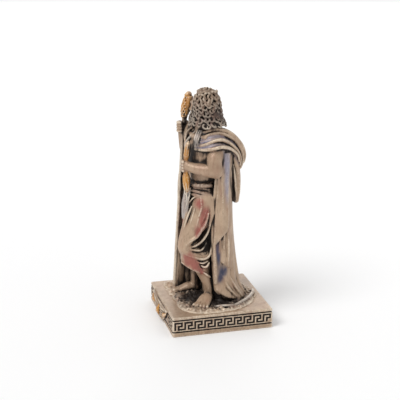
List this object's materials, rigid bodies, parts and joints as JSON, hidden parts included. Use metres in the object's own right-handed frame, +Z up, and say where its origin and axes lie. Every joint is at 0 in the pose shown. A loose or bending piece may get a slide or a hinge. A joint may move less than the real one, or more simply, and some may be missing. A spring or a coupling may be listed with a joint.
{
  "type": "god statue miniature",
  "caption": "Standing bearded god in a draped mantle with eagle sceptre and thunderbolt, on a square plinth with a key-pattern band.",
  "frame": {"origin": "centre of the plinth's underside", "axes": "+Z up, -Y the front where the badge is, +X the figure's left"},
  "size_m": [0.038, 0.0401, 0.0881],
  "materials": {
    "figure_bronze_resin": "cold-cast bronze resin, black-brown wash in the hollows, rubbed warm highlights, thin red, blue and gold paint",
    "plinth_bronze_resin": "cold-cast bronze resin, black-brown wash in the sunk lines, rubbed warm highlights, gold on the badge's flames"
  },
  "bodies": {
    "root": {"figure": "figure_bronze_resin", "plinth": "plinth_bronze_resin"}
  },
  "joints": []
}
